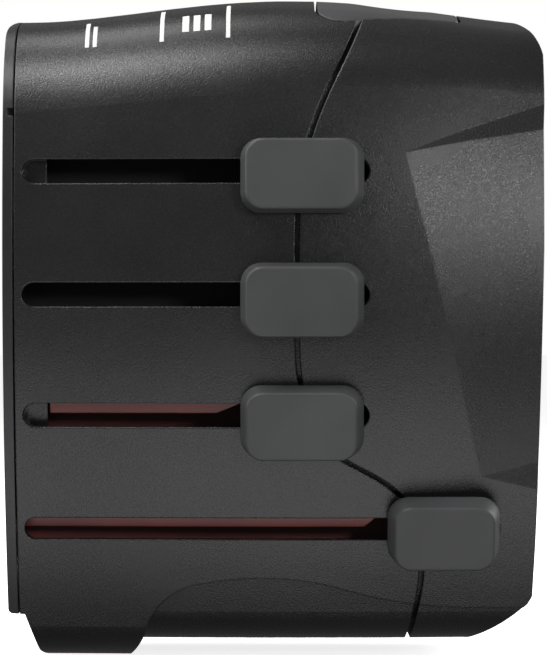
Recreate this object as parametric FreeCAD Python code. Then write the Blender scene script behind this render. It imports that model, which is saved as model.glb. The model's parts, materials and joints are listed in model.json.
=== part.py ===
"""Universal travel adapter with four slide-out plug sets, modelled piece by piece.

Frame: +X points to the socket end, -X to the plug face, +Z up, -Y is the slider side.
All sizes are millimetres.  The origin is the middle of the bounding box at its base.
"""
import FreeCAD, Part
import math
import os

V = FreeCAD.Vector

# ---- case ------------------------------------------------------------------------
PLUG_END = -31.25
SOCKET_END = 31.25
# each station: position along X, half depth, top height, radius of the upper corners
STATIONS = (
    (PLUG_END, 26.7, 75.5, 13.0),
    (-12.0, 28.3, 77.1, 13.0),
    (4.3, 29.0, 78.0, 12.6),
    (18.0, 28.3, 76.8, 10.6),
    (SOCKET_END, 27.0, 75.2, 9.6),
)
HALF_DEPTH = 29.0
SIDE_RADIUS = 85.0
SIDE_LEVEL = 50.0
CROWN_RADIUS = 90.0
LOW_CORNER = 8.0
WALL = 2.2
INNER_FLOOR = 5.0
FACE_THICKNESS = 1.3
SOCKET_WALL = 2.65
DEPTH_SHIFT = 1.5

# ---- sliders ---------------------------------------------------------------------
SLOT_HEIGHT = 2.75
SLOT_START = -29.0
SLOT_END = 11.0
LONG_SLOT_END = 26.3
TRAVEL = 25.3
EURO_TRAVEL = 41.5
KNOB_LENGTH = 14.2
EURO_KNOB_LENGTH = 13.0
KNOB_WIDTH = 8.6
KNOB_HEIGHT = 2.65
KNOB_GAP = 0.3
KNOB_DROP = 0.6
KNOB_X = 3.3
EURO_KNOB_X = 19.75
AU_SLOT = 56.8
US_SLOT = 42.6
UK_SLOT = 28.7
EURO_SLOT = 15.4
ARM_X = (-0.5, 7.0)
PLUG_RIM_RADIUS = 0.12
SOCKET_RIM_RADIUS = 0.15

# ---- plug sets: positions across the plug face (y, z) ------------------------------
RUNNING_GAP = 0.28
UK_LINE_Z = 22.0
UK_SPREAD = 11.1
UK_EARTH_Z = UK_LINE_Z + 22.2
UK_PIN_LENGTH = 17.7
UK_EARTH_LENGTH = 22.7
US_CENTRE_Y = -8.0
US_LINE_Z = 31.0
US_SPREAD = 6.35
US_EARTH_Z = US_LINE_Z + 11.9
US_PIN_LENGTH = 17.0
AU_EARTH_Z = 53.6
AU_LINE_Z = AU_EARTH_Z + 14.27
AU_SPREAD = 6.86
AU_LEAN = 30.0
AU_PIN_LENGTH = 17.1
BLADE_WIDTH = 6.35
US_BLADE = 1.5
AU_BLADE = 1.6
EURO_CENTRE_Z = 12.4
EURO_LINE_Z = 14.2
EURO_EARTH_Z = 9.2
EURO_SPREAD = 9.5
EURO_PIN_RADIUS = 2.0
EURO_PIN_LENGTH = 19.0
EURO_BLOCK_REACH = 20.0
EURO_BLOCK_TAIL = 22.2
CARRIER_FRONT = PLUG_END + FACE_THICKNESS + 0.2 + TRAVEL
CARRIER_DEPTH = 7.0

# ---- socket ----------------------------------------------------------------------
SOCKET_FACE_X = 30.6
GUIDE_X = 24.5
CONTACT_X = 12.4
SOCKET_EURO_Z = 33.2
SOCKET_UK_Z = 27.5
SOCKET_US_Z = 40.0
LINE_RAIL_Z = 30.0
NEUTRAL_RAIL_Z = 32.5
FUSE_Y = 16.5
FUSE_Z = 56.0


# ---- small building blocks --------------------------------------------------------
def block(x0, x1, y0, y1, z0, z1):
    """Box between two corners."""
    return Part.makeBox(x1 - x0, y1 - y0, z1 - z0, V(x0, y0, z0))


def rod(x0, x1, y, z, radius):
    """Round bar along X."""
    return Part.makeCylinder(radius, x1 - x0, V(x0, y, z), V(1, 0, 0))


def rounded_plate(x0, x1, y, z, width, height, radius):
    """Plate across X with rounded corners, centred on (y, z)."""
    shape = block(x0, x1, y - width / 2, y + width / 2, z - height / 2, z + height / 2)
    edges = [e for e in shape.Edges if abs(e.tangentAt(e.FirstParameter).x) > 0.99]
    return shape.makeFillet(radius, edges)


def turned(shape, y, z, degrees):
    """Turn a shape about the X direction through (y, z)."""
    copy = shape.copy()
    copy.rotate(V(0, y, z), V(1, 0, 0), degrees)
    return copy


def mirrored(shape):
    """Mirror image across the Y = 0 plane."""
    return shape.mirror(V(0, 0, 0), V(0, 1, 0))


def joined(shapes):
    """Fuse a list of touching solids into one."""
    result = shapes[0]
    if len(shapes) > 1:
        result = result.multiFuse(shapes[1:])
    return result.removeSplitter()


def side_view_solid(edges_2d):
    """Solid as deep as the case from a closed side-view outline in X and Z."""
    face = Part.Face(Part.Wire(edges_2d))
    face.translate(V(0, -40, 0))
    return face.extrude(V(0, 80, 0))


def line(a, b):
    return Part.LineSegment(V(a[0], 0, a[1]), V(b[0], 0, b[1])).toShape()


def bow(a, via, b):
    return Part.Arc(V(a[0], 0, a[1]), V(via[0], 0, via[1]), V(b[0], 0, b[1])).toShape()


def lines(points):
    return [line(a, b) for a, b in zip(points[:-1], points[1:])]


# ---- case shapes ------------------------------------------------------------------
def section_arc(x, centre, radius, start, end):
    points = []
    for angle in (start, (start + end) / 2, end):
        y = centre[0] + radius * math.cos(angle)
        z = centre[1] + radius * math.sin(angle)
        points.append(V(x, y, z))
    return Part.Arc(*points).toShape()


def section(station, low, inset):
    """Egg-shaped cross-section: flat base, bulged sides, shallow crown."""
    x, half, top, corner = station
    side_y = half - SIDE_RADIUS
    crown_z = top - CROWN_RADIUS
    top_y = half - corner
    for _ in range(8):
        top_z = crown_z + math.sqrt((CROWN_RADIUS - corner) ** 2 - top_y ** 2)
        top_y = side_y + math.sqrt((SIDE_RADIUS - corner) ** 2 - (top_z - SIDE_LEVEL) ** 2)
    low_z = low + LOW_CORNER
    low_y = side_y + math.sqrt((SIDE_RADIUS - LOW_CORNER) ** 2 - (low_z - SIDE_LEVEL) ** 2)
    low_turn = math.atan2(low_z - SIDE_LEVEL, low_y - side_y)
    top_turn = math.atan2(top_z - SIDE_LEVEL, top_y - side_y)
    crown_turn = math.atan2(top_z - crown_z, top_y)
    edges = [
        section_arc(x, (low_y, low_z), LOW_CORNER - inset, -math.pi / 2, low_turn),
        section_arc(x, (side_y, SIDE_LEVEL), SIDE_RADIUS - inset, low_turn, top_turn),
        section_arc(x, (top_y, top_z), corner - inset, top_turn, crown_turn),
        section_arc(x, (0, crown_z), CROWN_RADIUS - inset, crown_turn, math.pi - crown_turn),
    ]
    for edge in reversed(edges[:3]):
        edges.append(mirrored(edge))
    edges.append(Part.LineSegment(V(x, -low_y, low + inset), V(x, low_y, low + inset)).toShape())
    return Part.Wire(edges)


def run_out(end, inner, reach):
    """A station moved past the end of the case along its own slope."""
    step = math.copysign(reach, end[0])
    share = step / (end[0] - inner[0])
    return tuple(a + (a - b) * share for a, b in zip(end, inner))


def barrel(inset=0.0, low=0.0, reach=0.0):
    """Barrel-shaped case volume, drawn in by inset all round and run out past both ends."""
    first = run_out(STATIONS[0], STATIONS[1], reach)
    last = run_out(STATIONS[-1], STATIONS[-2], reach)
    stations = (first,) + STATIONS[1:-1] + (last,)
    wires = [section(station, low, inset) for station in stations]
    return Part.makeLoft(wires, True, False)


def cavity_volume(inset, x0, x1):
    """Inside of the case, drawn in by inset, with its raised floor."""
    volume = barrel(inset, INNER_FLOOR - WALL, 1.0)
    return volume.common(block(x0, x1, -40, 40, -1, 90))


def layer(outer_inset, inner_inset, low=0.0):
    """Skin-like layer between two insets, open at both ends."""
    outer = barrel(outer_inset, low)
    inner = barrel(inner_inset, low, 1.0)
    return outer.cut(inner)


def side_profile():
    """Side silhouette: rounded ends, foot under the plug end, lifted socket end."""
    edges = [
        line((PLUG_END, 5.7), (PLUG_END, 72.8)),
        bow((PLUG_END, 72.8), (-30.5, 75.0), (-28.3, 76.3)),
    ]
    edges += lines([(-28.3, 76.3), (-20, 84), (18, 84), (26.6, 76.6)])
    edges.append(bow((26.6, 76.6), (30.1, 73.3), (SOCKET_END, 66.5)))
    edges += lines([(SOCKET_END, 66.5), (SOCKET_END, 48.0), (30.6, 14.0), (30.4, 7.2), (29.9, 6.3)])
    edges.append(bow((29.9, 6.3), (26.9, 3.9), (22.9, 1.9)))
    edges += lines([(22.9, 1.9), (20, 0), (-26.7, 0)])
    edges.append(bow((-26.7, 0), (-27.4, 0.2), (-27.8, 0.7)))
    edges += lines([(-27.8, 0.7), (-29.3, 5.0), (-30.6, 5.1)])
    edges.append(bow((-30.6, 5.1), (-31.1, 5.3), (PLUG_END, 5.7)))
    return side_view_solid(edges)


def scoop_region():
    """Side-view area of the shallow scoop along the lower edge."""
    edges = [
        bow((-18.2, -1.0), (-16.4, 0.6), (-15.2, 2.6)),
        bow((-15.2, 2.6), (-13.0, 6.6), (-8.5, 8.8)),
        bow((-8.5, 8.8), (-1.5, 9.5), (7.0, 8.5)),
        bow((7.0, 8.5), (15.0, 6.6), (24.0, 5.9)),
    ]
    edges += lines([(24.0, 5.9), (34.0, 5.8), (34.0, -1.0), (-18.2, -1.0)])
    return side_view_solid(edges)


def case_skin_y(x, z):
    """Depth position of the case surface on the slider side, for the socket half."""
    for left, right in zip(STATIONS[:-1], STATIONS[1:]):
        if left[0] <= x <= right[0]:
            share = (x - left[0]) / (right[0] - left[0])
            half = left[1] + share * (right[1] - left[1])
    return SIDE_RADIUS - half - math.sqrt(SIDE_RADIUS ** 2 - (z - SIDE_LEVEL) ** 2)


def behind_plane(corners, top):
    """Everything on the inner side of the slanted plane through three corners."""
    a, b, c = corners
    normal = (b - a).cross(c - a)
    rings = []
    for z in (0, top):
        ring = []
        for x in (9, 36):
            ring.append(V(x, a.y - (normal.x * (x - a.x) + normal.z * (z - a.z)) / normal.y, z))
        ring += [V(36, 40, z), V(9, 40, z)]
        rings.append(Part.makePolygon(ring + ring[:1]))
    return Part.makeLoft(rings, True, True)


def grip_recess():
    """Finger recess on the slider side: deeper towards the socket end, with slanted ends."""
    slope = 0.1
    slant = 0.25
    start_x, start_z = 15.6, 57.2

    def sunk_y(x, z):
        return case_skin_y(x, z) + slope * (x - start_x + slant * (z - start_z))

    def slanted_end(tip, skin_z, floor_z):
        return (
            V(tip[0], case_skin_y(*tip), tip[1]),
            V(SOCKET_END, case_skin_y(SOCKET_END, skin_z), skin_z),
            V(SOCKET_END, sunk_y(SOCKET_END, floor_z), floor_z),
        )

    floor = barrel(0.0, 0.0, 6.0)
    pivot = V(start_x, case_skin_y(start_x, start_z), start_z)
    floor.rotate(pivot, V(-slant, 0, 1), math.degrees(slope * math.hypot(1, slant)))
    region = block(9, 36, -40, -10, 10, 72).cut(floor)
    region = region.cut(behind_plane(slanted_end((17.0, 59.6), 64.6, 61.9), 90))
    return region.cut(behind_plane(slanted_end((24.7, 21.4), 19.8, 22.8), 30))


def outer_case():
    body = barrel(0.0, -0.1).common(side_profile())
    scooped = barrel(0.7, 1.25, 1.0)
    body = body.cut(scoop_region().cut(scooped))
    recess = grip_recess()
    return body.cut(recess).cut(mirrored(recess))


# ---- seam between the two shells ---------------------------------------------------
SEAM = (
    (11.0, 81.0), (9.7, 74.4), (6.4, 67.0), (3.9, 60.6), (2.7, 54.0), (2.5, 42.0),
    (2.9, 32.0), (6.6, 24.3), (14.0, 19.6), (16.7, 14.6), (16.9, 8.5), (15.7, 2.4), (14.6, -2.0),
)


def seam_points(offset):
    """The seam line moved sideways towards the socket end."""
    moved = []
    for index, (x, z) in enumerate(SEAM):
        before = SEAM[max(index - 1, 0)]
        after = SEAM[min(index + 1, len(SEAM) - 1)]
        run = (after[0] - before[0], after[1] - before[1])
        length = math.hypot(*run)
        moved.append((x - run[1] / length * offset, z + run[0] / length * offset))
    return moved


def plug_side_of_seam(offset):
    """Everything on the plug side of the seam."""
    points = seam_points(offset)
    curve = Part.BSplineCurve()
    curve.interpolate([V(x, 0, z) for x, z in points])
    edges = [curve.toShape()]
    edges += lines([points[-1], (-40, -2), (-40, 81), points[0]])
    return side_view_solid(edges)


SEAM_GAP = 0.5
TONGUE_OUT = 1.15
TONGUE_REACH = 2.2


# ---- openings shared by several pieces ---------------------------------------------
SLOTS = (
    (AU_SLOT, SLOT_END, SLOT_HEIGHT),
    (US_SLOT, SLOT_END, SLOT_HEIGHT),
    (UK_SLOT, SLOT_END, SLOT_HEIGHT),
    (EURO_SLOT, LONG_SLOT_END, 2.5),
)


def slot_cutter(z, end, height):
    """Round-ended slot through the slider-side wall."""
    radius = height / 2
    middle = block(SLOT_START + radius, end - radius, -34, -12, z - radius, z + radius)
    left = Part.makeCylinder(radius, 22, V(SLOT_START + radius, -34, z), V(0, 1, 0))
    right = Part.makeCylinder(radius, 22, V(end - radius, -34, z), V(0, 1, 0))
    return joined([middle, left, right])


BUTTON_X = (5.15, 21.6)
BUTTON_HALF_WIDTHS = (22.6, 17.7)


def button_prism(margin):
    """Plan outline of the release button as an upright prism, wider at the crown."""
    x0 = BUTTON_X[0] - margin
    x1 = BUTTON_X[1] + margin
    wide = BUTTON_HALF_WIDTHS[0] + margin
    narrow = BUTTON_HALF_WIDTHS[1] + margin
    corners = [V(x0, -wide, 60), V(x1, -narrow, 60), V(x1, narrow, 60), V(x0, wide, 60)]
    shape = Part.Face(Part.makePolygon(corners + corners[:1])).extrude(V(0, 0, 22))
    uprights = [e for e in shape.Edges if abs(e.tangentAt(e.FirstParameter).z) > 0.99]
    left = [e for e in uprights if e.BoundBox.XMax < 12]
    shape = shape.makeFillet(2.6 + margin, left)
    uprights = [e for e in shape.Edges if abs(e.tangentAt(e.FirstParameter).z) > 0.99]
    right = [e for e in uprights if e.BoundBox.XMin > 12]
    return shape.makeFillet(0.8 + margin, right)


# ---- shells and end plates ----------------------------------------------------------
def screw_posts(x0, x1, spots):
    posts = []
    for y, z in spots:
        posts.append(rod(x0, x1, y, z, 3.0))
    return posts


PLUG_SCREWS = ((-18.3, 68.2), (18.3, 68.2))
SOCKET_SCREWS = ((-19.7, 44.0), (19.7, 44.0))
SCREW_RADIUS = 1.1
SCREW_HEAD_RADIUS = 2.1


def shells(outer):
    """Plug-side and socket-side shells with an overlapping tongue behind the seam."""
    face_plane = PLUG_END + FACE_THICKNESS
    wall_plane = SOCKET_END - SOCKET_WALL
    cavity = cavity_volume(WALL, face_plane - 1, wall_plane)
    hollow = outer.cut(cavity)
    hollow = hollow.cut(block(PLUG_END - 1, face_plane + 0.05, -40, 40, -1, 90))

    tongue_skin = cavity_volume(TONGUE_OUT, face_plane, wall_plane).cut(cavity)
    strip = plug_side_of_seam(TONGUE_REACH).cut(plug_side_of_seam(-0.6))
    tongue = tongue_skin.common(strip)
    left = hollow.common(plug_side_of_seam(0.0)).fuse(tongue)

    pocket_volume = cavity_volume(TONGUE_OUT - 0.08, face_plane, wall_plane)
    pocket = pocket_volume.common(plug_side_of_seam(TONGUE_REACH + 0.25))
    right = hollow.cut(plug_side_of_seam(SEAM_GAP)).cut(pocket)

    button_hole = button_prism(0.35)
    left = left.cut(button_hole)
    right = right.cut(button_hole)

    posts = screw_posts(face_plane + 0.05, -17.0, PLUG_SCREWS)
    inside = cavity_volume(WALL - 0.5, face_plane, wall_plane + 0.5)
    left = left.multiFuse([post.common(inside) for post in posts])
    stops = []
    for z in (AU_SLOT, UK_SLOT):
        room = block(face_plane + 0.05, -26.2, -34, -10, z - 3, z + 3)
        stops.append(layer(WALL - 0.4, WALL + 1.5).common(room))
    for z, end, height in SLOTS:
        cutter = slot_cutter(z, end, height)
        left = left.cut(cutter)
        right = right.cut(cutter)
    left = left.multiFuse(stops)
    for y, z in PLUG_SCREWS:
        left = left.cut(rod(face_plane - 1, -19.0, y, z, SCREW_RADIUS))

    right = right.cut(socket_outline(wall_plane - 1, SOCKET_END + 1, 0.12))
    bosses = []
    for y, z in SOCKET_SCREWS:
        boss = rod(18.0, wall_plane - 1.3, y, z, 2.0)
        side = 1 if y > 0 else -1
        rib = block(18.0, wall_plane - 1.3, min(y, y + side * 7), max(y, y + side * 7), z - 0.6, z + 0.6)
        bosses.append(joined([boss, rib]).common(inside))
    right = right.multiFuse(bosses)
    for y, z in SOCKET_SCREWS:
        right = right.cut(rod(19.0, wall_plane, y, z, SCREW_RADIUS))
    left = softened_rims(left.removeSplitter(), outer, 0.0, PLUG_RIM_RADIUS)
    right = softened_rims(right.removeSplitter(), outer, SEAM_GAP, SOCKET_RIM_RADIUS)
    return left, right


def middle_of(edge):
    return edge.valueAt((edge.FirstParameter + edge.LastParameter) / 2)


def follows_seam(edge, seam):
    """Whether an edge runs along the seam in the side view."""
    if edge.Length < 0.5:
        return False
    for share in (0.3, 0.5, 0.7):
        point = edge.valueAt(edge.FirstParameter + (edge.LastParameter - edge.FirstParameter) * share)
        if seam.distToShape(Part.Vertex(V(point.x, 0, point.z)))[0] > 0.03:
            return False
    return True


def rims_a_slot(edge):
    """Whether an edge borders one of the four slider slots on the outside."""
    middle = middle_of(edge)
    leaning = abs(edge.tangentAt((edge.FirstParameter + edge.LastParameter) / 2).y)
    if middle.y > -15 or edge.Length < 0.3 or leaning > 0.5:
        return False
    box = edge.BoundBox
    for z, end, height in SLOTS:
        if box.ZMin > z - height / 2 - 0.1 and box.ZMax < z + height / 2 + 0.1:
            return True
    return False


def softened_rims(shell, outer, offset, radius):
    """Round the moulding edges along the seam and round the slots."""
    curve = Part.BSplineCurve()
    curve.interpolate([V(x, 0, z) for x, z in seam_points(offset)])
    seam = curve.toShape()
    skin = outer.Shells[0]
    rims = []
    for edge in shell.Edges:
        on_skin = skin.distToShape(Part.Vertex(middle_of(edge)))[0] < 0.02
        if on_skin and (follows_seam(edge, seam) or rims_a_slot(edge)):
            rims.append(edge)
    return shell.makeFillet(radius, rims)


def socket_outline(x0, x1, margin):
    """Plate outline that follows the case section and stops below the rounded top edge."""
    follow = barrel(4.2 - margin, 6.2, 2.0)
    frame = rounded_plate(x0, x1, 0, 38.5, 45.4 + 2 * margin, 53.0 + 2 * margin, 8.0 + margin)
    return follow.common(frame)


def hexagon_prism(x0, x1, margin):
    """Flattened six-sided body of the continental plug."""
    half = 13.3 + margin
    tall = 6.2 + margin
    shoulder = 9.6 + margin * 0.6
    corners = [
        V(x0, -half, EURO_CENTRE_Z), V(x0, -shoulder, EURO_CENTRE_Z + tall),
        V(x0, shoulder, EURO_CENTRE_Z + tall), V(x0, half, EURO_CENTRE_Z),
        V(x0, shoulder, EURO_CENTRE_Z - tall), V(x0, -shoulder, EURO_CENTRE_Z - tall),
    ]
    face = Part.Face(Part.makePolygon(corners + corners[:1]))
    prism = face.extrude(V(x1 - x0, 0, 0))
    ridges = [e for e in prism.Edges if abs(e.tangentAt(e.FirstParameter).x) > 0.99]
    return prism.makeFillet(1.6, ridges)


def flat_pin(x0, x1, y, z, width, height, margin=0.0):
    return block(x0, x1, y - width / 2 - margin, y + width / 2 + margin,
                 z - height / 2 - margin, z + height / 2 + margin)


def uk_pins(x_tip, x_root, earth_tip, margin=0.0):
    pins = []
    for side in (-1, 1):
        pins.append(flat_pin(x_tip, x_root, side * UK_SPREAD, UK_LINE_Z, BLADE_WIDTH, 4.0, margin))
    pins.append(flat_pin(earth_tip, x_root, 0, UK_EARTH_Z, 4.0, 8.0, margin))
    return pins


def us_pins(x_tip, x_root, margin=0.0):
    pins = []
    for side in (-1, 1):
        y = US_CENTRE_Y + side * US_SPREAD
        pins.append(flat_pin(x_tip, x_root, y, US_LINE_Z, US_BLADE, BLADE_WIDTH, margin))
    pins.append(rod(x_tip, x_root, US_CENTRE_Y, US_EARTH_Z, 2.4 + margin))
    return pins


def au_pins(x_tip, x_root, margin=0.0):
    pins = []
    for side in (-1, 1):
        y = side * AU_SPREAD
        blade = flat_pin(x_tip, x_root, y, AU_LINE_Z, AU_BLADE, BLADE_WIDTH, margin)
        pins.append(turned(blade, y, AU_LINE_Z, side * AU_LEAN))
    pins.append(flat_pin(x_tip, x_root, 0, AU_EARTH_Z, AU_BLADE, BLADE_WIDTH, margin))
    return pins


def plug_face(outer):
    """End plate that the pins pass through."""
    x0 = PLUG_END - 1
    x1 = PLUG_END + FACE_THICKNESS
    plate = outer.common(block(x0, x1 - 0.12, -40, 40, -1, 90))
    holes = uk_pins(x0, x1, x0, RUNNING_GAP)
    holes += us_pins(x0, x1, RUNNING_GAP)
    holes += au_pins(x0, x1, RUNNING_GAP)
    for hole in holes:
        plate = plate.cut(hole)
    plate = plate.cut(hexagon_prism(x0, x1, RUNNING_GAP))
    for y, z in PLUG_SCREWS:
        plate = plate.cut(rod(x0, x1, y, z, SCREW_RADIUS + 0.1))
        plate = plate.cut(rod(x0, PLUG_END + 0.75, y, z, SCREW_HEAD_RADIUS + 0.15))
    for z in (63.7, 23.3):
        for side in (-1, 1):
            notch = block(x1 - 0.75, x1, side * 27 - 4, side * 27 + 4, z - 0.45, z + 0.45)
            plate = plate.cut(notch.cut(barrel(0.8, 0.0, 1.0)))
    return plate


def blade_slots(x0, x1):
    """Slots for upright and leaning flat blades, crossed into one opening per side."""
    slots = []
    for side in (-1, 1):
        upright = flat_pin(x0, x1, side * US_SPREAD, SOCKET_US_Z, 2.0, 7.0)
        leaning = flat_pin(x0, x1, side * AU_SPREAD, SOCKET_US_Z, 2.0, 7.0)
        leaning = turned(leaning, side * AU_SPREAD, SOCKET_US_Z, side * AU_LEAN)
        slots += [upright, leaning]
    return slots


def socket_face():
    """Socket plate with its guide block, pin holes and fuse tube."""
    wall_plane = SOCKET_END - SOCKET_WALL
    plate = socket_outline(wall_plane - 1.2, SOCKET_FACE_X, 0.0)
    guide = rounded_plate(GUIDE_X, wall_plane, 0, 38.3, 32.0, 35.4, 2.0)
    tube = rod(9.0, wall_plane, FUSE_Y, FUSE_Z, 4.7)
    shape = joined([plate, guide, tube])
    x0 = GUIDE_X - 1
    x1 = SOCKET_FACE_X + 1
    for side in (-1, 1):
        shape = shape.cut(rod(x0, x1, side * EURO_SPREAD, SOCKET_EURO_Z, 2.5))
        shape = shape.cut(flat_pin(x0, x1, side * UK_SPREAD, SOCKET_UK_Z, 6.95, 4.6))
    shape = shape.cut(rod(x0, x1, 0, SOCKET_EURO_Z + 5.0, 2.5))
    shape = shape.cut(flat_pin(x0, x1, 0, SOCKET_UK_Z + 22.2, 4.6, 8.6))
    shape = shape.cut(rod(x0, x1, 0, SOCKET_US_Z + 11.9, 2.6))
    shape = shape.cut(flat_pin(x0, x1, 0, SOCKET_US_Z - 14.27, 2.0, 7.0))
    for slot in blade_slots(x0, x1):
        shape = shape.cut(slot)
    shape = shape.cut(rod(10.0, x1, FUSE_Y, FUSE_Z, 3.8))
    shape = shape.cut(rod(SOCKET_FACE_X - 1.3, x1, FUSE_Y, FUSE_Z, 5.5))
    for y, z in SOCKET_SCREWS:
        shape = shape.cut(rod(wall_plane - 2, x1, y, z, SCREW_RADIUS + 0.1))
        shape = shape.cut(rod(SOCKET_FACE_X - 0.75, x1, y, z, SCREW_HEAD_RADIUS + 0.15))
    return shape


def side_view_polygon(corners, y0, y1):
    """Solid between two depths from straight-sided corners in X and Z."""
    face = Part.Face(Part.Wire(lines(corners + corners[:1])))
    face.translate(V(0, y0, 0))
    return face.extrude(V(0, y1 - y0, 0))


def slot_lining(low, high, screen, screen_low, ends, reach):
    """One lined slot: a lip close behind the wall, a roof, and a screen deep inside.

    low and high are the lip's levels, screen the screen's depth range, ends the lip's
    slanted end, below and above, and reach where the roof and the screen end.
    """
    start = PLUG_END + FACE_THICKNESS + 0.2
    corners = [(start, low), (ends[0], low), (ends[1], high), (start, high)]
    lip = layer(WALL + 0.1, WALL + 1.2).common(side_view_polygon(corners, -40, -8))
    inside = barrel(WALL + 0.65, 0.0, 1.0)
    roof = block(start + 0.1, reach, -40, screen[1], high - 0.7, high - 0.1).common(inside)
    wall = block(start + 0.1, reach, screen[0], screen[1], screen_low, high - 0.1)
    return joined([lip, roof, wall])


def guide_liner():
    """Coloured lining behind the two lower slots, one moulding for each."""
    upper = slot_lining(28.9, 32.0, (-16.3, -15.6), 26.2, (-6.6, 1.0), 9.0)
    lower = slot_lining(15.55, 18.8, (-13.7, -13.0), 13.8, (10.6, 14.6), 23.5)
    stop = layer(WALL - 0.6, WALL + 1.7).common(block(PLUG_END, -25.95, -34, -10, 20, 32))
    return [upper.cut(stop), lower]


def slot_screen():
    """Black screen deep behind the two upper slots; the slider arms step round it."""
    y0, y1 = -16.3, -15.6
    start = PLUG_END + FACE_THICKNESS + 0.2
    strips = [block(start, 9.2, y0, y1, 54.0, 59.6), block(start, 9.2, y0, y1, 40.2, 46.0)]
    posts = [block(start, -28.6, y0, y1, 40.2, 59.6), block(7.7, 9.2, y0, y1, 40.2, 59.6)]
    return joined(strips + posts)


# ---- sliders ---------------------------------------------------------------------
def surface_tilt(z):
    return math.asin((z - SIDE_LEVEL) / SIDE_RADIUS)


def rounded_ring(length, width, radius, height, shift):
    """Rounded rectangle wire at a height, shifted towards the plug end."""
    solid = Part.makeBox(length, 1, width, V(-length / 2, 0, -width / 2))
    uprights = [e for e in solid.Edges if abs(e.tangentAt(e.FirstParameter).y) > 0.99]
    solid = solid.makeFillet(radius, uprights)
    face = min(solid.Faces, key=lambda f: f.CenterOfMass.y)
    wire = face.OuterWire.copy()
    wire.translate(V(-shift, -height, 0))
    return wire


def knob_cap(x, z, length, shift):
    """Finger knob that rides just above the case, square to the local surface."""
    base = rounded_ring(length, KNOB_WIDTH, 2.4, 0.0, 0.0)
    waist = rounded_ring(length, KNOB_WIDTH, 2.4, 0.45, 0.0)
    crest = rounded_ring(length - 1.5, KNOB_WIDTH - 0.5, 2.0, KNOB_HEIGHT, shift)
    foot = Part.makeLoft([base, waist], True, True)
    top = Part.makeLoft([waist, crest], True, True)
    cap = joined([foot, top])
    high = [e for e in cap.Edges if e.BoundBox.YMax < -KNOB_HEIGHT + 0.3]
    cap = cap.makeFillet(0.3, high)
    tilt = surface_tilt(z)
    cap.rotate(V(0, 0, 0), V(1, 0, 0), -math.degrees(tilt))
    reach = HALF_DEPTH - SIDE_RADIUS + (SIDE_RADIUS + KNOB_GAP) * math.cos(tilt)
    rise = KNOB_GAP * math.sin(tilt)
    cap.translate(V(x, -reach, z + rise))
    return cap


def arm(x_range, y_inner, low, high, slot):
    """Thin arm that runs out through its slot and ends inside the knob."""
    tilt = surface_tilt(slot)
    reach = HALF_DEPTH - SIDE_RADIUS + (SIDE_RADIUS + KNOB_GAP) * math.cos(tilt) + 1.1
    return block(*x_range, -reach, y_inner, low, high)


CARRIER_BACK = CARRIER_FRONT + CARRIER_DEPTH
# the arms of the three pin carriers step sideways between these depths
STEP_Y = (-18.4, -17.2)


def uk_carrier():
    x0, x1 = CARRIER_FRONT, CARRIER_BACK
    pieces = [
        block(x0, x1, -15.6, 17.0, 19.0, 25.4),
        block(x0, x1, 11.5, 17.0, 25.0, 49.0),
        block(x0, x1, -3.2, 17.0, 39.4, 49.0),
        block(x0, ARM_X[1], STEP_Y[0], -12.0, 22.2, 25.4),
        block(*ARM_X, *STEP_Y, 22.2, 28.7),
        arm(ARM_X, STEP_Y[1], 27.6, 28.7, UK_SLOT),
    ]
    return joined(pieces)


def us_carrier():
    x0, x1 = CARRIER_FRONT, CARRIER_BACK
    pieces = [
        block(x0, x1, -15.3, -0.2, 27.0, 35.0),
        block(x0, x1, -11.4, -4.6, 34.0, 46.1),
        block(x0, ARM_X[1], -11.4, -8.0, 37.0, 40.2),
        block(*ARM_X, STEP_Y[0], -10.0, 38.0, 39.2),
        block(*ARM_X, *STEP_Y, 38.0, US_SLOT + 0.6),
        arm(ARM_X, STEP_Y[1], US_SLOT - 0.6, US_SLOT + 0.6, US_SLOT),
    ]
    return joined(pieces)


def au_carrier():
    x0, x1 = CARRIER_FRONT, CARRIER_BACK
    pieces = [
        block(x0, x1, -10.6, 10.6, 64.0, 71.8),
        block(x0, x1, -3.0, 3.0, 49.9, 65.0),
        block(x0, ARM_X[1], -3.0, 0.0, 59.8, 62.6),
        block(*ARM_X, STEP_Y[0], -2.0, 60.6, 61.8),
        block(*ARM_X, *STEP_Y, AU_SLOT - 0.6, 61.8),
        arm(ARM_X, STEP_Y[1], AU_SLOT - 0.6, AU_SLOT + 0.6, AU_SLOT),
    ]
    return joined(pieces)


def euro_carrier():
    front = PLUG_END - EURO_BLOCK_REACH + EURO_TRAVEL
    body = hexagon_prism(front, EURO_BLOCK_TAIL, 0.0)
    arm_x = (EURO_BLOCK_TAIL - 7.0, EURO_BLOCK_TAIL)
    pieces = [
        body,
        block(*arm_x, -15.4, -8.0, 12.0, 13.1),
        block(*arm_x, -15.4, -14.3, 12.0, 15.35),
        arm(arm_x, -14.3, 14.35, 15.35, EURO_SLOT),
    ]
    return joined(pieces)


def rounded_tip(pin, tip_x, size):
    """Soften the leading end of a pin."""
    edges = [e for e in pin.Edges if e.BoundBox.XMax < tip_x + 0.01]
    return pin.makeFillet(size, edges)


def softened(pins, size):
    return [rounded_tip(pin, pin.BoundBox.XMin, size) for pin in pins]


EXPOSED = PLUG_END + TRAVEL


def uk_pin_set():
    pins = uk_pins(EXPOSED - UK_PIN_LENGTH, CARRIER_FRONT, EXPOSED - UK_EARTH_LENGTH)
    return softened(pins, 1.0)


def us_pin_set():
    pins = us_pins(EXPOSED - US_PIN_LENGTH, CARRIER_FRONT)
    return softened(pins, 0.5)


def au_pin_set():
    pins = au_pins(EXPOSED - AU_PIN_LENGTH, CARRIER_FRONT)
    return softened(pins, 0.5)


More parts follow.
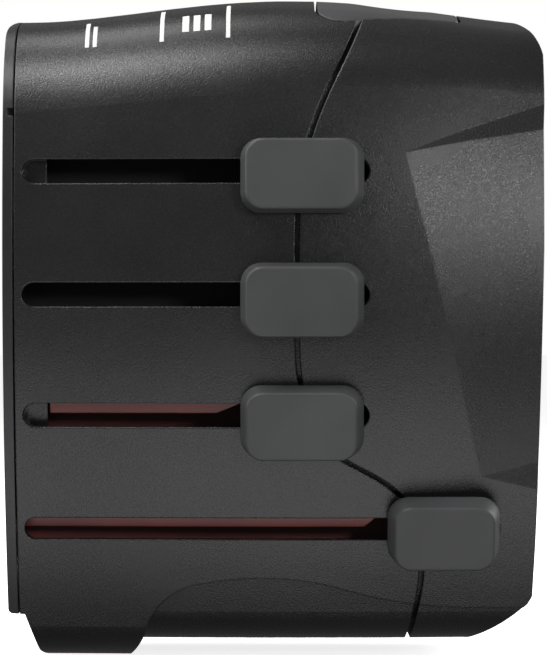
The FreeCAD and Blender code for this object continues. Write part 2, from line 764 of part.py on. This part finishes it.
def euro_pin_set():
    front = PLUG_END - EURO_BLOCK_REACH + EURO_TRAVEL
    tip = front - EURO_PIN_LENGTH
    spots = ((-EURO_SPREAD, EURO_LINE_Z), (EURO_SPREAD, EURO_LINE_Z), (0, EURO_EARTH_Z))
    return softened([rod(tip, front, y, z, EURO_PIN_RADIUS) for y, z in spots], 0.9)


def pin_sleeves(pins):
    """Insulating sleeves set into the roots of the round and flat line pins."""
    sleeves = []
    for side in (-1, 1):
        x1 = CARRIER_FRONT
        x0 = EXPOSED - 8.5
        ring = flat_pin(x0, x1, side * UK_SPREAD, UK_LINE_Z, BLADE_WIDTH, 4.0)
        core = flat_pin(x0 - 1, x1 + 1, side * UK_SPREAD, UK_LINE_Z, BLADE_WIDTH, 4.0, -0.45)
        sleeves.append(ring.cut(core))
    trimmed = []
    for pin in pins:
        for sleeve in sleeves:
            pin = pin.cut(sleeve)
        trimmed.append(pin)
    return sleeves, trimmed


# ---- release button ----------------------------------------------------------------
def release_button(outer):
    """Curved cap on the crown with a shallow finger dish and a spring peg."""
    thin = outer.cut(barrel(1.9, 0.0, 1.0))
    cap = thin.common(button_prism(0.0))
    dish = Part.makeCylinder(5.2, 12, V(0, 0, -6), V(0, 0, 1))
    stretch = FreeCAD.Matrix()
    stretch.scale(1.15, 2.4, 1.0)
    dish = dish.transformGeometry(stretch)
    dish.translate(V(14.0, 0, 81.5))
    dish = dish.cut(barrel(0.45, 0.0, 1.0))
    cap = cap.cut(dish)
    collar = Part.makeCylinder(3.9, 3.2, V(14.0, 0, 73.0))
    collar = collar.cut(Part.makeCylinder(3.2, 3.2, V(14.0, 0, 73.0)))
    collar = collar.common(barrel(1.0, 0.0, 1.0))
    return joined([cap, collar])


SPRING_X = 14.0
SPRING_LOW = 62.0
SPRING_HIGH = 75.05


def release_spring():
    """Coil spring between the contact block post and the button."""
    wire_radius = 0.32
    coil_radius = 2.6
    height = SPRING_HIGH - SPRING_LOW - 2 * wire_radius
    helix = Part.makeHelix(height / 5.0, height, coil_radius)
    circle = Part.Circle(V(coil_radius, 0, 0), V(0, 1, 0), wire_radius).toShape()
    spring = Part.Wire(helix).makePipeShell([Part.Wire(circle)], True, True)
    spring.translate(V(SPRING_X, 0, SPRING_LOW + wire_radius))
    return spring


# ---- contacts ----------------------------------------------------------------------
def contact_block():
    """Insulating carrier behind the socket contacts, with the spring post."""
    plate = block(9.4, CONTACT_X, -16.0, 16.0, 22.0, 46.0)
    neck = block(9.4, CONTACT_X, -6.5, 6.5, 45.0, 59.0)
    roof = block(9.4, 18.6, -4.5, 4.5, 57.0, 60.0)
    post = Part.makeCylinder(1.9, 7.0, V(SPRING_X, 0, 59.0))
    seat = Part.makeCylinder(3.6, 2.0, V(SPRING_X, 0, 60.0))
    pieces = [plate, neck, roof, post, seat]
    for side in (-1, 1):
        y = side * 16.8
        pieces.append(block(CONTACT_X - 0.5, GUIDE_X, y - 0.8, y + 0.8, 22.5, 45.5))
        pieces.append(block(9.4, CONTACT_X, side * 16.6 - 1.0, side * 16.6 + 1.0, 22.5, 45.5))
    shape = joined(pieces)
    for side, rail_z in ((1, LINE_RAIL_Z), (-1, NEUTRAL_RAIL_Z)):
        y = side * 16.8
        shape = shape.cut(block(CONTACT_X, CONTACT_X + 0.9, y - 1.9, y + 1.9, rail_z - 0.1, rail_z + 5.1))
    return shape.cut(block(9.0, 13.0, 3.7, 5.5, 50.5, 57.5))


def pole_contact(side, rail_z):
    """Stamped contact of one pole: leaves for every pin shape and a side rail."""
    def across(y0, y1):
        return (y0, y1) if side > 0 else (-y1, -y0)

    x0 = CONTACT_X
    leaf_end = GUIDE_X - 0.5
    pieces = [block(x0, x0 + 0.8, *across(4.7, 15.4), 24.6, 44.0)]
    flat_pin_leaves = ((14.8, 25.2, 29.9), (6.9, 25.2, 29.9))
    round_pin_leaves = ((12.3, 30.9, 35.5), (6.1, 30.9, 35.5))
    blade_leaves = ((9.2, 36.6, 43.5),)
    for y, z0, z1 in flat_pin_leaves + round_pin_leaves + blade_leaves:
        pieces.append(block(x0, leaf_end, *across(y, y + 0.6), z0, z1))
    pieces.append(block(x0, x0 + 0.8, *across(15.0, 19.8), rail_z, rail_z + 5.0))
    pieces.append(block(-3.6, x0 + 0.8, *across(19.0, 19.8), rail_z, rail_z + 5.0))
    return joined(pieces)


def earth_contact():
    """Stamped earth contact with clips for every earth pin and its rail."""
    x0 = CONTACT_X
    leaf_end = GUIDE_X - 0.5
    pieces = [block(x0, x0 + 0.8, -3.3, 3.3, 22.6, 56.4)]
    upper_leaves = ((2.7, 46.0, 53.5), (-3.3, 46.0, 53.5))
    round_pin_leaves = ((2.6, 35.8, 40.6), (-3.2, 35.8, 40.6))
    lower_leaf = ((1.3, 22.6, 29.2),)
    for y, z0, z1 in upper_leaves + round_pin_leaves + lower_leaf:
        pieces.append(block(x0, leaf_end, y, y + 0.6, z0, z1))
    pieces.append(block(x0, x0 + 0.8, 3.0, 5.0, 51.0, 57.0))
    pieces.append(block(-3.6, x0 + 0.8, 4.2, 5.0, 51.0, 57.0))
    return joined(pieces)


# ---- fuse --------------------------------------------------------------------------
def fuse_body():
    return rod(13.0, 25.0, FUSE_Y, FUSE_Z, 2.35).cut(rod(12.0, 26.0, FUSE_Y, FUSE_Z, 1.6))


def fuse_ends():
    """Two caps that close the tube's ends."""
    tube_space = rod(13.0, 25.0, FUSE_Y, FUSE_Z, 2.35)
    return [rod(x0, x0 + 5.0, FUSE_Y, FUSE_Z, 2.6).cut(tube_space) for x0 in (11.5, 21.5)]


def fuse_contact():
    """Spring washer stack at the blind end of the fuse tube."""
    pad = rod(10.0, 10.5, FUSE_Y, FUSE_Z, 3.4)
    pip = rod(10.5, 11.5, FUSE_Y, FUSE_Z, 1.4)
    return joined([pad, pip])


def fuse_cap():
    """Bayonet cap with a coin slot."""
    head = rod(SOCKET_FACE_X - 1.25, SOCKET_FACE_X - 0.05, FUSE_Y, FUSE_Z, 5.2)
    plug = rod(26.5, SOCKET_FACE_X - 1.0, FUSE_Y, FUSE_Z, 3.5)
    cap = joined([head, plug])
    rim = [e for e in cap.Edges if e.BoundBox.XMin > SOCKET_FACE_X - 0.1]
    cap = cap.makeFillet(0.3, rim)
    return cap.cut(flat_pin(SOCKET_FACE_X - 0.75, SOCKET_FACE_X + 1, FUSE_Y, FUSE_Z, 7.6, 1.1))


# ---- screws ------------------------------------------------------------------------
def screw(face_x, y, z, direction):
    """Pan-head screw with a cross recess; its head sits in the counterbore."""
    head_x = face_x if direction > 0 else face_x - 0.6
    head = rod(head_x, head_x + 0.6, y, z, SCREW_HEAD_RADIUS)
    shank_x = face_x + 0.6 if direction > 0 else face_x - 0.6 - 9.0
    shank = rod(shank_x, shank_x + 9.0, y, z, SCREW_RADIUS - 0.05)
    shape = joined([head, shank])
    slot_x = face_x if direction > 0 else face_x - 0.35
    shape = shape.cut(block(slot_x, slot_x + 0.35, y - 1.3, y + 1.3, z - 0.22, z + 0.22))
    return shape.cut(block(slot_x, slot_x + 0.35, y - 0.22, y + 0.22, z - 1.3, z + 1.3))


def case_screws():
    screws = [screw(PLUG_END + 0.15, y, z, 1) for y, z in PLUG_SCREWS]
    screws += [screw(SOCKET_FACE_X - 0.15, y, z, -1) for y, z in SOCKET_SCREWS]
    return screws


# ---- assembly ------------------------------------------------------------------------
def save(name, shapes):
    """Write one node, moved so the origin is central under the bounding box."""
    shape = shapes if isinstance(shapes, Part.Shape) else Part.makeCompound(shapes)
    shape = shape.copy()
    shape.translate(V(0, DEPTH_SHIFT, 0))
    shape.exportStep("parts/" + name + ".step")
    box = shape.BoundBox
    print(name, len(shape.Solids), "solids, valid", shape.isValid(), "volume %.1f" % shape.Volume)
    print("    x %.2f %.2f" % (box.XMin, box.XMax), "y %.2f %.2f" % (box.YMin, box.YMax),
          "z %.2f %.2f" % (box.ZMin, box.ZMax))


def main():
    os.makedirs("parts", exist_ok=True)
    outer = outer_case()
    plug_housing, socket_housing = shells(outer)
    save("plug_housing", plug_housing)
    save("socket_housing", socket_housing)
    save("plug_face", plug_face(outer))
    save("socket_face", socket_face())
    save("guide_liner", guide_liner())
    save("slot_screen", slot_screen())

    carriers = {"au": au_carrier(), "us": us_carrier(), "uk": uk_carrier(), "euro": euro_carrier()}
    knobs = {
        "au": knob_cap(KNOB_X, AU_SLOT - KNOB_DROP, KNOB_LENGTH, 0.15),
        "us": knob_cap(KNOB_X, US_SLOT - KNOB_DROP, KNOB_LENGTH, 0.1),
        "uk": knob_cap(KNOB_X, UK_SLOT - KNOB_DROP, KNOB_LENGTH, 0.1),
        "euro": knob_cap(EURO_KNOB_X, EURO_SLOT, EURO_KNOB_LENGTH, -0.1),
    }
    for name, carrier in carriers.items():
        save(name + "_carrier", carrier)
        save(name + "_knob", knobs[name].cut(carrier))

    sleeves, uk_set = pin_sleeves(uk_pin_set())
    save("uk_pins", uk_set)
    save("uk_pin_sleeves", sleeves)
    save("us_pins", us_pin_set())
    save("au_pins", au_pin_set())
    save("euro_pins", euro_pin_set())

    save("release_button", release_button(outer))
    save("release_spring", release_spring())
    save("contact_block", contact_block())
    save("line_contact", pole_contact(1, LINE_RAIL_Z))
    save("neutral_contact", pole_contact(-1, NEUTRAL_RAIL_Z))
    save("earth_contact", earth_contact())
    save("fuse_body", fuse_body())
    save("fuse_ends", fuse_ends())
    save("fuse_contact", fuse_contact())
    save("fuse_cap", fuse_cap())
    save("case_screws", case_screws())


main()
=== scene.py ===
"""Looks of the universal travel adapter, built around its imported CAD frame.

Everything is in metres, in the frame's own axes: -Y is the slider side, -X the plug
face, +X the socket end and +Z up.
"""

import json
import math

import bmesh
import bpy
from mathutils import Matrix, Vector
from mathutils.bvhtree import BVHTree


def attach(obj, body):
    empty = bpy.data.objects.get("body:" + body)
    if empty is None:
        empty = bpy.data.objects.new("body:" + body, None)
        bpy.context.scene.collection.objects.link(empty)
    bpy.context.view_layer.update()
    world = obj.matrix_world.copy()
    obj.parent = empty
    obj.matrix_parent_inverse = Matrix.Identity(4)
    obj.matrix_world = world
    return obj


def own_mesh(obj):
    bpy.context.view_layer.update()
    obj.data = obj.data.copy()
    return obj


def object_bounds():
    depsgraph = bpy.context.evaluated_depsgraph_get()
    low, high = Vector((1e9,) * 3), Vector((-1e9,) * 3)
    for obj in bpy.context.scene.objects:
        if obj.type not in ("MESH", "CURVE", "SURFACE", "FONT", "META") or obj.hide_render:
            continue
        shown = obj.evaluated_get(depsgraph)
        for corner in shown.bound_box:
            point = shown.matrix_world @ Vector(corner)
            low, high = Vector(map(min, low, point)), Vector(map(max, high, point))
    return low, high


MM = 0.001

# ---- frame -----------------------------------------------------------------------
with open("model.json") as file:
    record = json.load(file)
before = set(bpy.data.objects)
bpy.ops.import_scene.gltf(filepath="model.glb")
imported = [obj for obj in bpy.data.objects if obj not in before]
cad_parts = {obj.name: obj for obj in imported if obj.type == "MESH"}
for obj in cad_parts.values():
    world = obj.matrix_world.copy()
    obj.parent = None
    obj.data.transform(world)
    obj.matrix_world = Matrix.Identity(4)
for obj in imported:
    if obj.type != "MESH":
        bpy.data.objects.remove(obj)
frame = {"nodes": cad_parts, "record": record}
nodes = frame["nodes"]
cad_low, cad_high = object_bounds()
MIDDLE = (cad_low + cad_high) / 2
# the case's own middle plane, off the origin because the knobs stand out on one side only
CASE_AXIS_Y = 1.5 * MM

# ---- camera and stage --------------------------------------------------------------
CAMERA_DISTANCE = 560 * MM
CAMERA_DROP = 0.2 * MM
SENSOR_WIDTH = 36
LENS = 255.3
FLOOR_SIZE = 6.0
FLOOR_FRONT = -31 * MM
FLOOR_GLOW = 0.8
WORLD_FILL = 0.13
WORLD_SEEN = 1.0


def add_camera():
    """Long lens that looks straight at the slider side."""
    data = bpy.data.cameras.new("camera")
    data.sensor_width = SENSOR_WIDTH
    data.lens = LENS
    data.clip_start = 0.01
    data.clip_end = 50
    camera = bpy.data.objects.new("camera", data)
    bpy.context.scene.collection.objects.link(camera)
    camera.location = Vector((MIDDLE.x, MIDDLE.y - CAMERA_DISTANCE, MIDDLE.z - CAMERA_DROP))
    camera.rotation_euler = (math.radians(90), 0, 0)
    bpy.context.scene.camera = camera


def area_light(name, place, target, size, power):
    """Soft rectangular light at place, aimed at target; size is (width, height)."""
    data = bpy.data.lights.new(name, "AREA")
    data.shape = "RECTANGLE"
    data.size, data.size_y = size
    data.energy = power
    light = bpy.data.objects.new(name, data)
    bpy.context.scene.collection.objects.link(light)
    light.location = place
    aim = Vector(target) - Vector(place)
    light.rotation_euler = aim.to_track_quat("-Z", "Y").to_euler()


def softbox(name, azimuth, elevation, distance, size, power):
    """Area light aimed at the middle of the object; azimuth turns from -Y towards +X, in degrees."""
    turn = math.radians(azimuth)
    rise = math.radians(elevation)
    flat = math.cos(rise)
    way = Vector((math.sin(turn) * flat, -math.cos(turn) * flat, math.sin(rise)))
    area_light(name, MIDDLE + way * distance, MIDDLE, size, power)


def add_lights():
    """Softboxes by name, azimuth, elevation, distance, (width, height) and power in watts."""
    softbox("key_over_left", -43, 52, 0.62, (0.18, 0.42), 3.2)
    softbox("strip_front_right", 27, 11, 0.70, (0.10, 0.13), 1.1)
    softbox("top_back_left", -130, 62, 0.70, (0.40, 0.30), 1.4)
    softbox("fill_low_front", 3, -42, 0.62, (0.60, 0.42), 1.25)
    softbox("plug_face_side", -100, 18, 0.70, (0.45, 0.45), 4.0)
    softbox("socket_face_side", 104, 18, 0.70, (0.45, 0.45), 4.0)
    softbox("far_side", 138, 20, 0.80, (0.30, 0.30), 2.0)


def add_world():
    """White to the camera, and only a dim fill for everything else."""
    world = bpy.data.worlds.new("studio")
    bpy.context.scene.world = world
    world.use_nodes = True
    tree = world.node_tree
    background = tree.nodes["Background"]
    background.inputs["Color"].default_value = (1, 1, 1, 1)
    path = tree.nodes.new("ShaderNodeLightPath")
    strength = tree.nodes.new("ShaderNodeMapRange")
    strength.inputs["To Min"].default_value = WORLD_FILL
    strength.inputs["To Max"].default_value = WORLD_SEEN
    tree.links.new(path.outputs["Is Camera Ray"], strength.inputs["Value"])
    tree.links.new(strength.outputs["Result"], background.inputs["Strength"])


# ---- node helpers --------------------------------------------------------------------
# the part of a noise's 0 to 1 output that is spread over a range
NOISE_LOW = 0.3
NOISE_HIGH = 0.7
EVEN = (1, 1, 1)
DRAWN_ALONG_X = (0.1, 1, 1)


def new_material(name):
    """Material with one Principled shader; gives the material, its tree and the shader."""
    material = bpy.data.materials.new(name)
    material.use_nodes = True
    tree = material.node_tree
    tree.nodes.clear()
    output = tree.nodes.new("ShaderNodeOutputMaterial")
    shader = tree.nodes.new("ShaderNodeBsdfPrincipled")
    tree.links.new(shader.outputs["BSDF"], output.inputs["Surface"])
    return material, tree, shader


def noise(tree, scale, detail=2.0, stretch=EVEN):
    """Object-space noise; scale counts features per metre."""
    coords = tree.nodes.new("ShaderNodeTexCoord")
    mapping = tree.nodes.new("ShaderNodeMapping")
    mapping.inputs["Scale"].default_value = stretch
    texture = tree.nodes.new("ShaderNodeTexNoise")
    texture.inputs["Scale"].default_value = scale
    texture.inputs["Detail"].default_value = detail
    texture.inputs["Roughness"].default_value = 0.5
    tree.links.new(coords.outputs["Object"], mapping.inputs["Vector"])
    tree.links.new(mapping.outputs["Vector"], texture.inputs["Vector"])
    return texture.outputs["Fac"]


def spread(tree, value, low, high):
    """Map a noise value onto a range of numbers."""
    node = tree.nodes.new("ShaderNodeMapRange")
    node.inputs["From Min"].default_value = NOISE_LOW
    node.inputs["From Max"].default_value = NOISE_HIGH
    node.inputs["To Min"].default_value = low
    node.inputs["To Max"].default_value = high
    tree.links.new(value, node.inputs["Value"])
    return node.outputs["Result"]


def tint(tree, value, dark, light):
    """Map a noise value onto a range of colours."""
    node = tree.nodes.new("ShaderNodeValToRGB")
    node.color_ramp.elements[0].position = NOISE_LOW
    node.color_ramp.elements[1].position = NOISE_HIGH
    node.color_ramp.elements[0].color = (*dark, 1)
    node.color_ramp.elements[1].color = (*light, 1)
    tree.links.new(value, node.inputs["Fac"])
    return node.outputs["Color"]


def bump(tree, value, distance, under=None):
    """Shading normal raised by a value, up to distance, over the normal called under."""
    node = tree.nodes.new("ShaderNodeBump")
    node.inputs["Strength"].default_value = 1.0
    node.inputs["Distance"].default_value = distance
    tree.links.new(value, node.inputs["Height"])
    if under is not None:
        tree.links.new(under, node.inputs["Normal"])
    return node.outputs["Normal"]


# ---- materials -------------------------------------------------------------------------
GRAIN = 0.16 * MM
GRAIN_DEPTH = 0.035 * MM
CORNER_SAMPLES = 6
BROAD_MOTTLE = 9 * MM
METAL_MOTTLE = 4 * MM
SCRATCH = 0.25 * MM
SCRATCH_DEPTH = 0.004 * MM


def rounded_normal(tree, radius):
    """Shading normal that softens the corners of a piece, as its mould would."""
    node = tree.nodes.new("ShaderNodeBevel")
    node.samples = CORNER_SAMPLES
    node.inputs["Radius"].default_value = radius
    return node.outputs["Normal"]


def moulded_plastic(name, colour, rough, grain_depth=GRAIN_DEPTH, shade=0.15, edge=0.2 * MM):
    """Moulding with a fine spark-eroded grain and slightly rounded corners."""
    material, tree, shader = new_material(name)
    fine = noise(tree, 1 / GRAIN)
    broad = noise(tree, 1 / BROAD_MOTTLE)
    dark = [channel * (1 - shade) for channel in colour]
    light = [channel * (1 + shade) for channel in colour]
    tree.links.new(tint(tree, broad, dark, light), shader.inputs["Base Color"])
    tree.links.new(spread(tree, fine, rough - 0.05, rough + 0.05), shader.inputs["Roughness"])
    normal = bump(tree, fine, grain_depth, under=rounded_normal(tree, edge))
    tree.links.new(normal, shader.inputs["Normal"])
    return material


def metal(name, colour, rough, stretch=EVEN):
    """Plated or stamped metal with fine drawn lines."""
    material, tree, shader = new_material(name)
    shader.inputs["Metallic"].default_value = 1.0
    lines = noise(tree, 1 / SCRATCH, detail=3.0, stretch=stretch)
    broad = noise(tree, 1 / METAL_MOTTLE)
    dark = [channel * 0.85 for channel in colour]
    tree.links.new(tint(tree, broad, dark, colour), shader.inputs["Base Color"])
    tree.links.new(spread(tree, lines, rough - 0.06, rough + 0.08), shader.inputs["Roughness"])
    tree.links.new(bump(tree, lines, SCRATCH_DEPTH), shader.inputs["Normal"])
    return material


def clear_glass(name):
    """Clear glass with a faint unevenness in its polish."""
    material, tree, shader = new_material(name)
    shader.inputs["Transmission Weight"].default_value = 1.0
    shader.inputs["Base Color"].default_value = (0.92, 0.95, 0.95, 1)
    faint = noise(tree, 1 / (1.5 * MM))
    tree.links.new(spread(tree, faint, 0.02, 0.06), shader.inputs["Roughness"])
    return material


MATERIALS = {
    "case": moulded_plastic("case_grain", (0.013, 0.013, 0.0134), 0.28),
    "face": moulded_plastic("face_grain", (0.017, 0.017, 0.0175), 0.34),
    "knob": moulded_plastic(
        "knob_matt", (0.050, 0.051, 0.0525), 0.50, grain_depth=0.008 * MM, edge=0.35 * MM
    ),
    "button": moulded_plastic("button_matt", (0.045, 0.045, 0.046), 0.42, grain_depth=0.006 * MM),
    "inner": moulded_plastic("inner_black", (0.018, 0.018, 0.018), 0.45, grain_depth=0.006 * MM),
    "plug_block": moulded_plastic("plug_block_satin", (0.018, 0.018, 0.019), 0.34),
    "liner": moulded_plastic("liner_maroon", (0.17, 0.036, 0.031), 0.4, grain_depth=0.008 * MM),
    "sleeves": moulded_plastic("sleeve_black", (0.012, 0.012, 0.013), 0.35, grain_depth=0.006 * MM),
    "pins": metal("pins_nickel", (0.72, 0.70, 0.66), 0.22, stretch=DRAWN_ALONG_X),
    "contacts": metal("contacts_brass", (0.72, 0.50, 0.22), 0.28),
    "spring": metal("spring_wire", (0.55, 0.55, 0.56), 0.25),
    "screws": metal("screws_zinc", (0.55, 0.55, 0.57), 0.3),
    "fuse_glass": clear_glass("fuse_clear"),
    "fuse_metal": metal("fuse_nickel", (0.75, 0.74, 0.72), 0.18),
}
PRINT_WHITE = moulded_plastic("print_white", (0.80, 0.80, 0.78), 0.45, grain_depth=0.01 * MM, shade=0.03)
SLOT_OF = {part["node"]: part["material_slot"] for part in frame["record"]["subparts"]}


def dress(node):
    """Give a CAD node the finish of its material slot."""
    piece = nodes[node]
    slot = SLOT_OF[node]
    for holder in piece.material_slots:
        holder.material = MATERIALS[slot]


def add_floor():
    """Bright floor that starts just in front of the object, so the low front light clears it.

    It is hidden from diffuse and glossy rays, so it neither lights the object nor shows in it.
    """
    bpy.ops.mesh.primitive_plane_add(size=FLOOR_SIZE, location=(0, FLOOR_FRONT + FLOOR_SIZE / 2, 0))
    floor = bpy.context.object
    floor.name = "floor"
    material, tree, shader = new_material("floor_paper")
    faint = noise(tree, 1 / (60 * MM), detail=3.0)
    tree.links.new(tint(tree, faint, (0.86, 0.86, 0.86), (0.90, 0.90, 0.90)), shader.inputs["Base Color"])
    shader.inputs["Roughness"].default_value = 0.8
    shader.inputs["Emission Color"].default_value = (1, 1, 1, 1)
    shader.inputs["Emission Strength"].default_value = FLOOR_GLOW
    floor.data.materials.append(material)
    floor.visible_diffuse = False
    floor.visible_glossy = False


# ---- printed marks -------------------------------------------------------------------
PRINT_AXIS_Z = 55 * MM
PRINT_REACH = 60 * MM
PRINT_RISE = 0.03 * MM
# each bar's mesh: its step along X in millimetres, and its number of rows round the shoulder
BAR_STEP = 0.4
BAR_ROWS = 10
# plain bars in place of the printing on the shoulder: start and end along X in millimetres,
# then start and end round the shoulder in degrees above the horizontal
BARS = (
    (-21.9, -21.4, 36.0, 50.0),
    (-21.0, -20.5, 36.0, 46.0),
    (-13.2, -12.7, 36.0, 58.0),
    (-10.6, -9.8, 39.0, 47.0),
    (-9.3, -8.5, 39.0, 47.0),
    (-8.0, -7.2, 39.0, 47.0),
    (-5.5, -5.0, 36.0, 58.0),
)


def surface_tree(node):
    """Search tree over a CAD node's mesh, in the frame's axes."""
    piece = nodes[node]
    mesh = bmesh.new()
    mesh.from_mesh(piece.data)
    mesh.transform(piece.matrix_world)
    tree = BVHTree.FromBMesh(mesh)
    mesh.free()
    return tree


def on_shoulder(tree, x, degrees):
    """Point and outward normal on the slider-side shoulder at one X and angle."""
    rise = math.radians(degrees)
    way = Vector((0, -math.cos(rise), math.sin(rise)))
    axis = Vector((x, MIDDLE.y + CASE_AXIS_Y, PRINT_AXIS_Z))
    point, normal, _, _ = tree.ray_cast(axis + way * PRINT_REACH, -way)
    return point, normal


def ink_layer(mesh, tree, bar, across, lift):
    """Grid of corners over one bar, at a height above the case's surface."""
    x0, x1, low, high = bar
    grid = []
    for i in range(across + 1):
        x = (x0 + (x1 - x0) * i / across) * MM
        row = []
        for j in range(BAR_ROWS + 1):
            point, normal = on_shoulder(tree, x, low + (high - low) * j / BAR_ROWS)
            row.append(mesh.verts.new(point + normal * lift))
        grid.append(row)
    return grid


def printed_bar(mesh, tree, bar):
    """Thin closed slab of ink that follows the case's surface."""
    across = max(2, round((bar[1] - bar[0]) / BAR_STEP))
    under = ink_layer(mesh, tree, bar, across, -PRINT_RISE)
    over = ink_layer(mesh, tree, bar, across, PRINT_RISE)
    for i in range(across):
        for j in range(BAR_ROWS):
            mesh.faces.new((over[i][j], over[i + 1][j], over[i + 1][j + 1], over[i][j + 1]))
            mesh.faces.new((under[i][j + 1], under[i + 1][j + 1], under[i + 1][j], under[i][j]))
    for i in range(across):
        for j in (0, BAR_ROWS):
            mesh.faces.new((under[i][j], under[i + 1][j], over[i + 1][j], over[i][j]))
    for j in range(BAR_ROWS):
        for i in (0, across):
            mesh.faces.new((under[i][j + 1], under[i][j], over[i][j], over[i][j + 1]))


def add_print():
    """Add every printed bar as one piece that moves with the case."""
    tree = surface_tree("plug_housing")
    mesh = bmesh.new()
    for bar in BARS:
        printed_bar(mesh, tree, bar)
    bmesh.ops.recalc_face_normals(mesh, faces=mesh.faces)
    data = bpy.data.meshes.new("printed_marks")
    mesh.to_mesh(data)
    mesh.free()
    data.materials.append(PRINT_WHITE)
    marks = bpy.data.objects.new("printed_marks", data)
    bpy.context.scene.collection.objects.link(marks)
    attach(marks, "case")


def press_spring():
    """Give the release spring's CAD node its own copy of its mesh.

    This deforms the CAD node's own mesh away from rest, after the frame's check of the CAD
    meshes has run, so it breaks the rule that a CAD mesh is never changed. The spring is
    not shortened as the button goes down, so the button cuts into the spring at
    release_press_max and all_max.
    """
    spring = nodes["release_spring"]
    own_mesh(spring)


# ---- build -----------------------------------------------------------------------------
for name in nodes:
    dress(name)
press_spring()
add_print()
add_floor()
add_camera()
add_lights()
add_world()
bpy.context.scene.view_settings.view_transform = "Standard"
